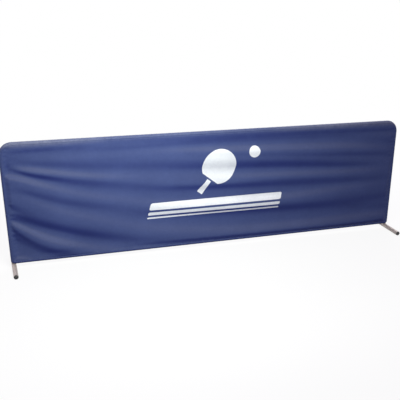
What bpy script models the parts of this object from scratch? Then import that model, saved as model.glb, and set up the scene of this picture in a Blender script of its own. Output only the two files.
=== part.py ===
"""A table tennis court barrier: a fabric cover stretched over a bent tube frame on two swivel feet.

X runs along the barrier, -Y faces the court, Z is up, and the floor is at Z = 0. Lengths are in metres.
"""

import math

import bmesh
import bpy
from mathutils import Vector

# Whole barrier
panel_length = 2.33
overall_height = 0.70
fit_gap = 0.0003
cut_overrun = 0.004

# Frame tube and its top corners, measured outside the cover
tube_diameter = 0.025
tube_wall = 0.001
corner_outer_radius = 0.070

# Fabric cover
cover_thickness = 0.0006
tape_thickness = 0.0008
tape_width = 0.020
tape_end_margin = 0.030
pivot_notch_gap = 0.0004

# Feet
foot_tube_diameter = 0.025
foot_tube_wall = 0.001
foot_length = 0.322
foot_toe_in_left = math.radians(6.2)
foot_toe_in_right = math.radians(1.1)
cap_dome_height = 0.006
cap_stem_length = 0.016
cap_wall = 0.0018
cap_rib_height = 0.0003
saddle_radius = 0.009
saddle_crown = 0.004
saddle_lip = 0.001

# Pivot: plug in the upright, threaded insert, bolt and washer
plug_stem_length = 0.034
plug_head_height = 0.0125
plug_boss_radius = 0.0085
plug_head_inset = 0.0003
insert_radius = 0.006
insert_length = 0.012
insert_seat_height = 0.015
bolt_radius = 0.004
bolt_head_radius = 0.0065
bolt_head_height = 0.005
bolt_socket_radius = 0.0029
bolt_socket_depth = 0.003
bolt_end_chamfer = 0.0006
bolt_tip_height = 0.003
washer_radius = 0.008
washer_thickness = 0.0015
access_hole_gap = 0.0005

# Faceting: how many flat steps a round shape gets
tube_bevel_resolution = 6
bend_steps = 8
band_steps = 12
lune_steps = 6
flap_steps = 12
round_steps = 32
small_round_steps = 24
dome_steps = 6

# Drag folds of the sheets. Each one is a dip with a ridge above it. Its line starts at the end upright and
# runs along the sheet as level + tilt * along + fall * exp(-along / reach), in shares of the sheet's height
# and length. Columns: level, tilt, fall, reach; depth at the start, at the middle share and at the far end,
# in shares of the fold depth; width at the start and far from it, in shares of the sheet's height.
fold_depth = 0.0066
fold_limit = 0.0090
fold_widening_share = 0.15
fold_middle_share = 0.4
fold_table_shares = (
    (0.786, -0.049, 0.158, 0.075, 0.774, 0.950, 3.500, 0.037, 0.051),
    (1.050, -0.332, -0.109, 0.670, -0.174, 0.028, -3.500, 0.037, 0.078),
    (0.707, -0.054, 0.222, 0.123, -1.263, 1.638, 3.267, 0.093, 0.061),
    (0.479, 0.003, 0.387, 0.187, 0.260, 2.804, 0.937, 0.047, 0.075),
    (-0.150, 0.275, 0.763, 0.496, 2.110, 3.302, 2.770, 0.052, 0.117),
    (-0.150, 0.282, 0.677, 0.264, 3.500, 0.262, -2.529, 0.046, 0.109),
    (0.228, -0.400, 0.205, 0.101, 3.500, 1.794, -2.434, 0.052, 0.108),
    (-0.020, -0.141, 0.325, 0.068, 3.500, 3.224, 2.046, 0.093, 0.171),
)
side_fade = 0.045
top_fade = 0.060
bottom_fade = 0.050
sheet_rows = 22
sheet_columns = 18
sheet_corner_columns = 4
column_bunching = 1.3

# Sizes that follow from the ones above
tube_radius = tube_diameter / 2
skin_radius = tube_radius + fit_gap
cover_radius = skin_radius + cover_thickness
foot_radius = foot_tube_diameter / 2
foot_bore_radius = foot_radius - foot_tube_wall
bore_radius = tube_radius - tube_wall
saddle_top = foot_tube_diameter + saddle_crown
plug_bottom = saddle_top + fit_gap
cover_bottom = plug_bottom
rail_height = cover_bottom + cover_radius
upright_bottom = plug_bottom + plug_head_height + fit_gap
top_height = overall_height - cover_radius
pivot_x = panel_length / 2 - cover_radius
bend_radius = corner_outer_radius - cover_radius
straight_x = pivot_x - bend_radius
straight_z = top_height - bend_radius
hole_radius = bolt_radius + fit_gap
notch_radius = plug_boss_radius + pivot_notch_gap + fit_gap
foot_saddle_cut = (foot_radius + fit_gap) / math.cos(math.pi / round_steps)


def clear_scene():
    """Start from an empty file."""
    for item in list(bpy.data.objects):
        bpy.data.objects.remove(item, do_unlink=True)
    for group in list(bpy.data.collections):
        bpy.data.collections.remove(group)


def new_collection(name):
    group = bpy.data.collections.new(name)
    bpy.context.scene.collection.children.link(group)
    return group


def new_material(name, colour, roughness, metallic=0.0):
    material = bpy.data.materials.new(name)
    material.use_nodes = True
    shader = material.node_tree.nodes["Principled BSDF"]
    shader.inputs["Base Color"].default_value = (*colour, 1.0)
    shader.inputs["Roughness"].default_value = roughness
    shader.inputs["Metallic"].default_value = metallic
    material.diffuse_color = (*colour, 1.0)
    return material


clear_scene()
parts = new_collection("table_tennis_barrier")
cutters = new_collection("cutters")

cover_fabric = new_material("cover_fabric", (0.050, 0.065, 0.200), 0.55)
tape_fabric = new_material("tape_fabric", (0.020, 0.022, 0.040), 0.90)
frame_steel = new_material("frame_steel", (0.42, 0.42, 0.43), 0.40, 0.9)
foot_steel = new_material("foot_steel", (0.45, 0.44, 0.44), 0.35, 0.9)
bright_steel = new_material("bright_steel", (0.62, 0.62, 0.63), 0.30, 1.0)
brass = new_material("brass", (0.62, 0.48, 0.20), 0.35, 1.0)
black_plastic = new_material("black_plastic", (0.020, 0.020, 0.021), 0.45)
grey_plastic = new_material("grey_plastic", (0.30, 0.29, 0.29), 0.50)


def add_object(name, data, material=None, parent=None, group=parts):
    """Link a mesh or curve as an object, under its joint's empty where it has one."""
    item = bpy.data.objects.new(name, data)
    group.objects.link(item)
    if material:
        data.materials.append(material)
    if parent:
        item.parent = parent
    return item


def mark_cutter(item):
    item.hide_render = True
    item.display_type = "WIRE"
    return item


def cut(item, cutter):
    """Take a cutter out of a piece with an exact Boolean."""
    modifier = item.modifiers.new("cut", "BOOLEAN")
    modifier.operation = "DIFFERENCE"
    modifier.solver = "EXACT"
    modifier.object = cutter


def thicken(item, thickness):
    """Give an open surface its wall, on the side its faces point to when thickness is positive."""
    modifier = item.modifiers.new("wall", "SOLIDIFY")
    modifier.thickness = abs(thickness)
    modifier.offset = math.copysign(1, thickness)
    modifier.use_even_offset = True


def smooth(mesh, angle=math.radians(35)):
    mesh.shade_smooth()
    mesh.set_sharp_from_angle(angle=angle)


def profile_mesh(name, points, closed):
    """A line of points in the XZ plane, joined into a loop where it is closed."""
    edges = [(i, i + 1) for i in range(len(points) - 1)]
    if closed:
        edges.append((len(points) - 1, 0))
    mesh = bpy.data.meshes.new(name)
    mesh.from_pydata([(r, 0, z) for r, z in points], edges, [])
    return mesh


def turned(name, points, material=None, parent=None, closed=True, steps=small_round_steps, group=parts):
    """A turned piece: its profile's outer side runs down, and closed profiles make rings."""
    item = add_object(name, profile_mesh(name, points, closed), material, parent, group)
    screw = item.modifiers.new("turn", "SCREW")
    screw.axis = "Z"
    screw.angle = math.tau
    screw.steps = steps
    screw.render_steps = steps
    screw.use_merge_vertices = True
    screw.merge_threshold = 0.00001
    screw.use_smooth_shade = True
    return item


def ring_profile(outer, inner, top, bottom):
    return [(outer, top), (outer, bottom), (inner, bottom), (inner, top)]


def cylinder_cutter(name, radius, top, bottom, parent=None, sides=round_steps):
    """An upright cylinder that cuts, with its faces and not its edges at the stated radius."""
    mesh = bpy.data.meshes.new(name)
    form = bmesh.new()
    bmesh.ops.create_cone(
        form, cap_ends=True, segments=sides, radius1=radius, radius2=radius, depth=top - bottom
    )
    bmesh.ops.translate(form, verts=form.verts, vec=Vector((0, 0, (top + bottom) / 2)))
    form.to_mesh(mesh)
    form.free()
    return mark_cutter(add_object(name, mesh, None, parent, cutters))


def lay_along_foot(item):
    """Turn a piece from Z to the foot's own length, with a flat facet underneath."""
    item.rotation_mode = "ZYX"
    item.rotation_euler = (math.pi / 2, 0, math.pi / round_steps)


def loft(name, rows, thickness, material):
    """A cloth strip: a surface through rows of points, given its thickness outward."""
    form = bmesh.new()
    grid = [[form.verts.new(point) for point in row] for row in rows]
    for near, far in zip(grid, grid[1:]):
        for i in range(len(near) - 1):
            form.faces.new((near[i], far[i], far[i + 1], near[i + 1]))
    bmesh.ops.remove_doubles(form, verts=form.verts, dist=0.000001)
    mesh = bpy.data.meshes.new(name)
    form.to_mesh(mesh)
    form.free()
    smooth(mesh)
    item = add_object(name, mesh, material)
    thicken(item, thickness)
    return item


# Frame: the outline of the panel's middle plane, along the tubes' centre lines
def arc(centre_x, centre_z, radius, start, end, steps):
    """(x, z, normal x, normal z) of points along an arc, angles in degrees."""
    angles = [math.radians(start + (end - start) * i / steps) for i in range(steps + 1)]
    return [
        (
            centre_x + radius * math.cos(a),
            centre_z + radius * math.sin(a),
            math.cos(a),
            math.sin(a),
        )
        for a in angles
    ]


def hoop_path(lowest):
    """The inverted U of the frame, from the left upright's lower end to the right one's."""
    left = arc(-straight_x, straight_z, bend_radius, 180, 90, bend_steps)
    right = arc(straight_x, straight_z, bend_radius, 90, 0, bend_steps)
    return [(-pivot_x, lowest, -1, 0), *left, *right, (pivot_x, lowest, 1, 0)]


def hollow_tube(name, points, radius, wall, material):
    """A tube along a line of points: a curve's open skin, walled inward."""
    curve = bpy.data.curves.new(name, "CURVE")
    curve.dimensions = "3D"
    curve.bevel_depth = radius
    curve.bevel_resolution = tube_bevel_resolution
    curve.use_fill_caps = False
    spline = curve.splines.new("POLY")
    spline.points.add(len(points) - 1)
    for knot, (x, z) in zip(spline.points, points):
        knot.co = (x, 0, z, 1)
    guide = add_object(name + "_path", curve, None, None, cutters)
    evaluated = guide.evaluated_get(bpy.context.evaluated_depsgraph_get())
    mesh = bpy.data.meshes.new_from_object(evaluated)
    bpy.data.objects.remove(guide, do_unlink=True)
    form = bmesh.new()
    form.from_mesh(mesh)
    bmesh.ops.remove_doubles(form, verts=form.verts, dist=0.000001)
    bmesh.ops.recalc_face_normals(form, faces=form.faces)
    form.to_mesh(mesh)
    form.free()
    mesh.name = name
    smooth(mesh)
    item = add_object(name, mesh, material)
    thicken(item, -wall)
    return item


hollow_tube(
    "frame_hoop",
    [(x, z) for x, z, _, _ in hoop_path(upright_bottom)],
    tube_radius,
    tube_wall,
    frame_steel,
)

bottom_rail = hollow_tube(
    "bottom_rail", [(-pivot_x, rail_height), (pivot_x, rail_height)], tube_radius, tube_wall, frame_steel
)
for side, sign in (("left", -1), ("right", 1)):
    coping = cylinder_cutter(
        "rail_coping_" + side,
        skin_radius,
        rail_height + tube_radius + cut_overrun,
        rail_height - tube_radius - cut_overrun,
    )
    coping.location.x = sign * pivot_x
    cut(bottom_rail, coping)


# Cover: front and rear sheets with their drag folds
def ease(share):
    share = min(max(share, 0.0), 1.0)
    return share * share * (3 - 2 * share)


def depth_share(share, start, middle, end):
    """The depth of a fold at a share of the length, on the parabola through its three given depths."""
    rest = 1 - fold_middle_share
    past = share - fold_middle_share
    from_end = 1 - share
    return (
        -start * past * from_end / fold_middle_share
        + middle * share * from_end / fold_middle_share / rest
        + end * share * past / rest
    )


def fold_height(along, up):
    """How far the sheet stands out at a place, both given in metres from the sheet's lower starting corner."""
    sheet_length = 2 * pivot_x
    sheet_height = top_height - rail_height
    share = along / sheet_length
    widening = 1 - math.exp(-share / fold_widening_share)
    height = 0.0
    for level, tilt, fall, reach, start, middle, end, narrow, wide in fold_table_shares:
        line = (level + tilt * share + fall * math.exp(-share / reach)) * sheet_height
        t = (up - line) / (narrow + (wide - narrow) * widening) / sheet_height
        height += fold_depth * depth_share(share, start, middle, end) * t * math.exp((1 - t * t) / 2)
    height = fold_limit * math.tanh(height / fold_limit)
    height *= ease(along / side_fade) * ease((sheet_length - along) / side_fade)
    return height * ease(up / bottom_fade) * ease((sheet_height - up) / top_fade)


def sheet_top(x):
    """The height of the sheet's upper edge at x, round at the corners."""
    past = abs(x) - straight_x
    if past <= 0:
        return top_height - fit_gap
    return straight_z + math.sqrt(max((bend_radius - fit_gap) ** 2 - past**2, 0.0))


def sheet_columns_x():
    """Where the sheet's columns stand: even steps of angle round the corners, closer at the folds' start."""
    corner = [(bend_radius - fit_gap) * math.sin(math.pi / 2 * i / sheet_corner_columns)
              for i in range(1, sheet_corner_columns + 1)]
    middle = [-straight_x + 2 * straight_x * (i / sheet_columns) ** column_bunching
              for i in range(sheet_columns + 1)]
    return [-straight_x - c for c in reversed(corner)] + middle + [straight_x + c for c in corner]


def cover_sheet(name, facing):
    """A sheet between the tubes' centre lines; facing is -1 for the front and 1 for the rear."""
    columns = sheet_columns_x()
    mesh = bpy.data.meshes.new(name)
    form = bmesh.new()
    bmesh.ops.create_grid(form, x_segments=len(columns) - 1, y_segments=sheet_rows, size=1)
    for vertex in form.verts:
        column = round((vertex.co.x + 1) / 2 * (len(columns) - 1))
        share = (vertex.co.y + 1) / 2
        x = columns[column]
        low = rail_height + fit_gap
        z = low + (sheet_top(x) - low) * share
        out = skin_radius + fold_height(x + pivot_x, z - rail_height)
        vertex.co = (-facing * x, facing * out, z)
    bmesh.ops.recalc_face_normals(form, faces=form.faces)
    if sum(face.normal.y * facing for face in form.faces) < 0:
        bmesh.ops.reverse_faces(form, faces=form.faces)
    form.to_mesh(mesh)
    form.free()
    smooth(mesh)
    item = add_object(name, mesh, cover_fabric)
    thicken(item, cover_thickness)
    return item


cover_sheet("cover_front_panel", -1)
cover_sheet("cover_rear_panel", 1)


# Cover: the edge band over the tube, from one pivot notch round the top to the other
def band_rows():
    """Half rings round the outline, turning in place at the lower corners."""
    left = arc(-pivot_x, rail_height, 0, 270, 180, lune_steps)
    right = arc(pivot_x, rail_height, 0, 0, -90, lune_steps)
    outline = [*left, *hoop_path(rail_height)[1:-1], *right]
    turns = [math.pi * i / band_steps - math.pi / 2 for i in range(band_steps + 1)]
    return [
        [
            Vector(
                (
                    x + skin_radius * math.cos(t) * nx,
                    skin_radius * math.sin(t),
                    z + skin_radius * math.cos(t) * nz,
                )
            )
            for t in turns
        ]
        for x, z, nx, nz in outline
    ]


edge_band = loft("cover_edge_band", band_rows(), cover_thickness, cover_fabric)

notches = []
for side, sign in (("left", -1), ("right", 1)):
    notch = cylinder_cutter(
        "pivot_notch_" + side, notch_radius, rail_height - tube_radius / 2, cover_bottom - tube_radius
    )
    notch.location.x = sign * pivot_x
    notches.append(notch)
    cut(edge_band, notch)

# Cover: two hem flaps under the bottom rail, closed by hook and loop tape
loop_radius = cover_radius + fit_gap
hook_radius = loop_radius + tape_thickness + fit_gap
outer_flap_radius = hook_radius + tape_thickness + fit_gap
tape_half_angle = tape_width / 2 / hook_radius


def rail_strip(name, radius_at, start, end, half_length, thickness, material):
    """A cloth strip under the rail; angles run from the rear (0) down under it to the front (pi)."""
    angles = [start + (end - start) * i / flap_steps for i in range(flap_steps + 1)]
    section = [
        (radius_at(a) * math.cos(a), rail_height - radius_at(a) * math.sin(a)) for a in angles
    ]
    rows = [[Vector((x, y, z)) for y, z in section] for x in (-half_length, half_length)]
    return loft(name, rows, thickness, material)


def front_flap_radius(angle):
    """Close to the tube at the front, standing off it where the tapes lie."""
    from_front = (math.pi - angle) / (math.pi / 2 - tape_half_angle)
    return skin_radius + (outer_flap_radius - skin_radius) * ease(from_front)


flap_half_length = pivot_x - fit_gap
tape_half_length = pivot_x - tape_end_margin
tape_start = math.pi / 2 - tape_half_angle
tape_end = math.pi / 2 + tape_half_angle
rear_flap = rail_strip(
    "cover_rear_flap", lambda a: skin_radius, 0, tape_end, flap_half_length, cover_thickness, cover_fabric
)
front_flap = rail_strip(
    "cover_front_flap", front_flap_radius, tape_start, math.pi, flap_half_length, cover_thickness, cover_fabric
)
rail_strip(
    "closure_loop_tape",
    lambda a: loop_radius,
    tape_start,
    tape_end,
    tape_half_length,
    tape_thickness,
    tape_fabric,
)
rail_strip(
    "closure_hook_tape",
    lambda a: hook_radius,
    tape_start,
    tape_end,
    tape_half_length,
    tape_thickness,
    tape_fabric,
)
for notch in notches:
    cut(rear_flap, notch)
    cut(front_flap, notch)


# Feet and their pivots
washer_top = (
    foot_radius
    + math.sqrt((foot_bore_radius * math.cos(math.pi / round_steps)) ** 2 - washer_radius**2)
    - fit_gap
)
washer_bottom = washer_top - washer_thickness
bolt_head_top = washer_bottom - fit_gap
bolt_head_bottom = bolt_head_top - bolt_head_height
plug_head_top = plug_bottom + plug_head_height
insert_bottom = plug_bottom + insert_seat_height
insert_top = insert_bottom + insert_length
plug_top = plug_head_top + plug_stem_length


def plug_profile():
    """A stem in the upright, a round head under it that the cover is drawn over, and a boss on the saddle."""
    head = tube_radius - plug_head_inset
    top_angle = math.asin((plug_head_top - rail_height) / head)
    boss_angle = -math.acos(plug_boss_radius / head)
    dome = [
        (head * math.cos(a), rail_height + head * math.sin(a))
        for a in (top_angle + (boss_angle - top_angle) * i / dome_steps for i in range(dome_steps + 1))
    ]
    stem = bore_radius - fit_gap
    pocket = insert_radius + fit_gap
    seat = insert_bottom - fit_gap
    return [
        (stem, plug_top),
        (stem, plug_head_top),
        *dome,
        (plug_boss_radius, plug_bottom),
        (hole_radius, plug_bottom),
        (hole_radius, seat),
        (pocket, seat),
        (pocket, plug_top),
    ]


def bolt_profile():
    top = insert_top + bolt_tip_height
    return [
        (0, top),
        (bolt_radius - bolt_end_chamfer, top),
        (bolt_radius, top - bolt_end_chamfer),
        (bolt_radius, bolt_head_top),
        (bolt_head_radius, bolt_head_top),
        (bolt_head_radius, bolt_head_bottom),
        (0, bolt_head_bottom),
    ]


def cap_profile():
    """A domed end cap on a hollow stem with two small ribs, its axis along Z and its dome up."""
    stem = foot_bore_radius - fit_gap - cap_rib_height
    rib = stem + cap_rib_height
    dome = [
        (foot_radius * math.cos(a), cap_dome_height * math.sin(a))
        for a in (math.pi / 2 * i / dome_steps for i in range(dome_steps, -1, -1))
    ]
    third = cap_stem_length / 3
    return [
        *dome,
        (stem, 0),
        (stem, -third),
        (rib, -third - cap_wall / 2),
        (stem, -third - cap_wall),
        (stem, -2 * third),
        (rib, -2 * third - cap_wall / 2),
        (stem, -2 * third - cap_wall),
        (stem, -cap_stem_length),
        (stem - cap_wall, -cap_stem_length),
        (stem - cap_wall, 0),
        (0, 0),
    ]


for side, sign, toe_in in (("left", -1, foot_toe_in_left), ("right", 1, foot_toe_in_right)):
    pivot = bpy.data.objects.new("foot_pivot_" + side, None)
    parts.objects.link(pivot)
    pivot.location = (sign * pivot_x, 0, 0)
    pivot.rotation_euler = (0, 0, -sign * toe_in)

    foot_tube_half = foot_length / 2 - cap_dome_height
    foot_tube = turned(
        "foot_tube_" + side,
        ring_profile(
            foot_radius / math.cos(math.pi / round_steps), foot_bore_radius, foot_tube_half, -foot_tube_half
        ),
        foot_steel,
        pivot,
        steps=round_steps,
    )
    lay_along_foot(foot_tube)
    foot_tube.location.z = foot_radius
    bolt_hole = cylinder_cutter(
        "bolt_hole_" + side, hole_radius, foot_tube_diameter + cut_overrun, foot_radius, pivot
    )
    access_hole = cylinder_cutter(
        "access_hole_" + side, washer_radius + access_hole_gap, foot_radius, -cut_overrun, pivot
    )
    cut(foot_tube, bolt_hole)
    cut(foot_tube, access_hole)

    for end, direction in (("front", -1), ("rear", 1)):
        cap = turned(
            "foot_" + end + "_cap_" + side, cap_profile(), black_plastic, pivot, closed=False
        )
        cap.rotation_euler = (-direction * math.pi / 2, 0, 0)
        cap.location = (0, direction * (foot_tube_half + fit_gap), foot_radius)

    rim = foot_radius + math.sqrt(foot_saddle_cut**2 - saddle_radius**2) + saddle_lip
    saddle = turned(
        "foot_saddle_" + side, ring_profile(saddle_radius, hole_radius, saddle_top, rim), grey_plastic, pivot
    )
    saddle_seat = cylinder_cutter(
        "saddle_seat_" + side, foot_saddle_cut, foot_tube_diameter, -foot_tube_diameter, pivot
    )
    lay_along_foot(saddle_seat)
    saddle_seat.location.z = foot_radius
    cut(saddle, saddle_seat)

    upright_parts = (
        turned("upright_plug_" + side, plug_profile(), black_plastic),
        turned(
            "threaded_insert_" + side,
            ring_profile(insert_radius, hole_radius, insert_top, insert_bottom),
            brass,
        ),
        turned("pivot_bolt_" + side, bolt_profile(), bright_steel, closed=False),
        turned(
            "pivot_washer_" + side,
            ring_profile(washer_radius, hole_radius, washer_top, washer_bottom),
            bright_steel,
        ),
    )
    for piece in upright_parts:
        piece.location.x = sign * pivot_x
    socket = cylinder_cutter(
        "bolt_socket_" + side,
        bolt_socket_radius,
        bolt_head_bottom + bolt_socket_depth,
        bolt_head_bottom - cut_overrun,
        sides=6,
    )
    socket.location.x = sign * pivot_x
    cut(upright_parts[2], socket)
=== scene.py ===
# %% [markdown]
# # A table tennis court barrier
#
# A barrier keeps the ball inside the court. A steel hoop, a bottom rail and two swivel feet carry a sleeve of
# coated polyester, pulled on from above and closed under the rail with hook and loop tape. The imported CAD
# model is loaded as a fixed frame. Rigid pieces keep their CAD meshes and get their finishes here, and every
# piece of cloth is made again as a finer surface on top of the same sizes.

# %% Load the frame
import math

import bpy
import numpy as np
from mathutils import Matrix, Vector


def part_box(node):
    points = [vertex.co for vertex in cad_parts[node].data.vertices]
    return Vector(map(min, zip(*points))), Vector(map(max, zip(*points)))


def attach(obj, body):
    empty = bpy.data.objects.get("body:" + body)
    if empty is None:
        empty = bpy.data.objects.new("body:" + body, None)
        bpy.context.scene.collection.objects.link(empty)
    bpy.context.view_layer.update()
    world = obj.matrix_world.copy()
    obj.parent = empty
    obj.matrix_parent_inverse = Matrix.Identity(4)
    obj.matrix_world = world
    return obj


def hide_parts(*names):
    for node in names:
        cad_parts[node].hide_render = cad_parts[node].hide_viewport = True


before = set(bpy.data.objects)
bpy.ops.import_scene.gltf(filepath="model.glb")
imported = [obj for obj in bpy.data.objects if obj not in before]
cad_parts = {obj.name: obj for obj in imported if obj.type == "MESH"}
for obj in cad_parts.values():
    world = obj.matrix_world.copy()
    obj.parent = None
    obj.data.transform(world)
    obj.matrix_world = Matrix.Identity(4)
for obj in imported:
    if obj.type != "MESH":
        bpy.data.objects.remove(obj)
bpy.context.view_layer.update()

# %% [markdown]
# ## Sizes
# The cloth has to sit exactly on the tubes, so nothing is typed in twice: the place of the tubes' centre lines
# comes from the boxes of two CAD nodes. Only what those boxes can't tell, such as the bend of the top corners
# and the cloth's own thickness, is a value of its own. Lengths are in metres; X runs along the barrier, and
# the straight lengths of the outline end where its bends begin.

# %% Sizes of the tubes and the cloth
band_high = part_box("cover_edge_band")[1]
rail_low, rail_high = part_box("bottom_rail")
cover_radius = band_high.y
upright_x = band_high.x - cover_radius
top_z = band_high.z - cover_radius
rail_z = (rail_low.z + rail_high.z) / 2
bend_radius = 0.0566
straight_x = upright_x - bend_radius
straight_z = top_z - bend_radius
cloth_thickness = 0.0006
notch_radius = 0.0092
sheet_length = 2 * upright_x
sheet_height = top_z - rail_z
print("sheet", round(sheet_length, 4), "x", round(sheet_height, 4), "cover radius", round(cover_radius, 4))

# %% [markdown]
# ## A surface from arrays
# Every new piece is a grid of points: rows and columns of one numpy array. The faces join each point to its
# right and upper neighbours, so a whole piece is made in a few array steps. Each grid carries a UV map called
# `cloth` measured in metres along the surface, so that a weave keeps its real size on every piece.


# %% Helper: a grid of points becomes a mesh object
def grid_faces(rows, columns, flip=False):
    """Quads of a grid: point (i, j) joined to (i, j+1), (i+1, j+1) and (i+1, j), turned round by flip."""
    number = np.arange(rows * columns).reshape(rows, columns)
    quads = np.stack([number[:-1, :-1], number[:-1, 1:], number[1:, 1:], number[1:, :-1]], axis=-1)
    quads = quads.reshape(-1, 4)
    return quads[:, ::-1] if flip else quads


def mesh_object(name, points, *faces, uv=None):
    """A smooth mesh object at the origin from an array of points, arrays of faces and a UV per point."""
    mesh = bpy.data.meshes.new(name)
    mesh.from_pydata(points.reshape(-1, 3).tolist(), [], [face for group in faces for face in group.tolist()])
    mesh.polygons.foreach_set("use_smooth", np.ones(len(mesh.polygons), bool))
    if uv is not None:
        corners = np.concatenate([group.ravel() for group in faces])
        layer = mesh.uv_layers.new(name="cloth")
        layer.data.foreach_set("uv", uv.reshape(-1, 2)[corners].astype(np.float32).ravel())
    mesh.update()
    item = bpy.data.objects.new(name, mesh)
    bpy.context.scene.collection.objects.link(item)
    print(name, len(mesh.vertices), "points", len(mesh.polygons), "faces")
    return item


def add_wall(item, thickness=cloth_thickness):
    """Cloth with a thickness: the drawn surface is the outer side, and the wall grows inwards."""
    wall = item.modifiers.new("thickness", "SOLIDIFY")
    wall.thickness = thickness
    wall.offset = -1
    wall.use_even_offset = True
    return item


def ease(share):
    """A smooth step from 0 to 1: three times the square less twice the cube."""
    share = np.clip(share, 0, 1)
    return share * share * (3 - 2 * share)


def wander(at, waves, drift, slow):
    """Uneven waves along a length, sin(waves * at + drift * sin(slow * at)), so that no two look alike."""
    return np.sin(at * waves + drift * np.sin(at * slow))


# %% [markdown]
# ## Drag folds
# The sleeve is pulled hardest at its lower left corner, so long folds run out of the left upright, fall
# quickly and then follow the barrier. A cloth simulation would make folds, but not these ones. Each fold is
# written as a line and a profile instead. The line is `level + tilt * along + fall * exp(-along / reach)`,
# and across it the cloth dips and rises again as `t * exp((1 - t*t) / 2)`, where t counts widths from the line.
# Its depth follows the parabola through the three depths in the table. The folds are added up and the sum is
# softly limited, as real cloth is by the tubes behind it. The seams hold the cloth to the tubes: at the hem the
# whole sum is shifted back to nothing, slowly, so that no step shows.
#
# The numbers were fitted and then tuned until the shading under the key lamp resembled a real cover's. They
# are heights that look right in that light, not measured ones. The last row is a low ridge just above the hem.

# %% The folds of one sheet
fold_depth = 0.0060
fold_limit = 0.0102
fold_widening = 0.15
fold_middle = 0.4
start_fade, end_fade, top_fade = 0.030, 0.035, 0.045
hem_reach = 0.18
# level, tilt, fall, reach, depth at 0, depth at fold_middle, depth at 1, width at 0 (m), width far away (m)
folds = np.array([
    (1.013, -0.039, -0.071, 0.395, -1.339, 3.949, -1.876, 0.0378, 0.0877),
    (0.974, -0.028, -0.037, 0.192, 0.458, -0.547, 0.592, 0.0190, 0.0191),
    (0.802, -0.196, 0.066, 0.144, -0.713, 2.396, 1.738, 0.0127, 0.0380),
    (0.470, -0.002, 0.360, 0.455, -1.116, 0.218, -0.029, 0.0158, 0.0229),
    (0.310, 0.167, 0.507, 0.284, 1.383, 2.548, 2.468, 0.0248, 0.0424),
    (0.897, -0.218, -0.093, 0.092, 1.620, -0.452, 0.099, 0.0422, 0.0198),
    (0.887, -0.188, -0.101, 0.088, -2.771, 2.435, 1.046, 0.0450, 0.0307),
    (0.180, 0.049, 0.580, 0.559, -2.367, -0.959, 1.340, 0.0300, 0.0434),
    (0.268, -0.036, 0.461, 0.177, -0.048, 2.121, 2.576, 0.0085, 0.0735),
    (0.552, 0.055, 0.172, 0.346, -1.282, 3.022, -3.102, 0.0366, 0.0721),
    (0.362, 0.259, 0.329, 0.103, 0.408, 0.640, 1.013, 0.0449, 0.0442),
    (-0.096, 0.186, 0.596, 0.303, 3.009, -0.164, 2.203, 0.0433, 0.0526),
    (-0.029, -0.044, 0.441, 0.221, 2.614, 1.675, 0.336, 0.0233, 0.0680),
    (-0.074, 0.097, 0.462, 0.223, 0.458, -0.042, 2.236, 0.0106, 0.0327),
    (-0.012, -0.082, 0.351, 0.092, 3.354, -1.087, 2.841, 0.0324, 0.0306),
    (-0.123, 0.088, 0.360, 0.098, 3.440, 1.379, 2.751, 0.0421, 0.0431),
    (0.032, -0.024, 0.000, 0.200, -0.300, 0.200, 0.500, 0.0110, 0.0135),
])
print(len(folds), "folds, limited to", fold_limit * 1000, "mm")


def fold_sum(along, up):
    """All folds added up, at a distance along from the left upright and up from the rail. The sum is limited
    by tanh, which leaves low folds as they are and flattens high ones."""
    share = np.clip(along / sheet_length, 0, 1)
    widening = 1 - np.exp(-share / fold_widening)
    total = np.zeros(np.broadcast(along, up).shape)
    for level, tilt, fall, reach, start, middle, end, narrow, wide in folds:
        line = (level + tilt * share + fall * np.exp(-share / reach)) * sheet_height
        t = (up - line) / (narrow + (wide - narrow) * widening)
        depth = start * (share - fold_middle) * (share - 1) / fold_middle
        depth = depth - middle * share * (share - 1) / (fold_middle * (1 - fold_middle))
        depth = depth + end * share * (share - fold_middle) / (1 - fold_middle)
        total += fold_depth * depth * t * np.exp((1 - t * t) / 2)
    return fold_limit * np.tanh(total / fold_limit)


def fold_height(along, up):
    """How far the folds push the cloth out: the sum, less its own value at the hem, and nothing at the seams."""
    total = fold_sum(along, up) - fold_sum(along, np.zeros_like(up)) * (1 - ease(up / hem_reach))
    total *= ease(along / start_fade) * ease((sheet_length - along) / end_fade)
    return total * ease((sheet_height - up) / top_fade)


# %% [markdown]
# ## Front and rear sheets
# Each sheet ends on the tubes' centre lines in a lapped seam: two layers lie on each other for 8 mm, which
# shows as a low raised border. The stitches pull at that border, so the cloth beside it puckers in short
# ripples. The sheet is a height field, y worked out from x and z, with the folds, the border and the ripples
# added up. Its columns close up at the rounded corners, where the outline turns.

# %% Distance from the seam, and the height field
lap_over = 0.0015
lap_width = 0.008
lap_slope = 0.005
lap_rise = 0.0005
pucker_start = 0.01
side_pucker, end_pucker = 0.00032, 0.00030


def inside(x, z):
    """Distance inwards from the tubes' centre line, counted up to the bend's radius: that radius less how far a
    point lies past the straight lengths, sideways and upwards, or its height over the rail where that is less."""
    across = np.maximum(np.abs(x) - straight_x, 0)
    above = np.maximum(z - straight_z, 0)
    return np.minimum(bend_radius - np.hypot(across, above), z - rail_z)


def pucker(x, z):
    """Short ripples square to the seams: uneven waves and a plain sine along the nearer seam, times a bell
    that is highest 12 to 14 mm inside it and about two centimetres wide to either side."""
    side = np.exp(-(((upright_x - np.abs(x)) - 0.012) / 0.022) ** 2)
    ends = np.exp(-((np.minimum(top_z - z, z - rail_z) - 0.014) / 0.020) ** 2)
    upwards = wander(z, 261, 1.3, 47) + 0.6 * np.sin(z * 153 + 2.0)
    sideways = wander(x, 83, 1.7, 13) + 0.6 * np.sin(x * 47 + 1.1)
    return side_pucker * side * upwards + end_pucker * ends * sideways


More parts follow.
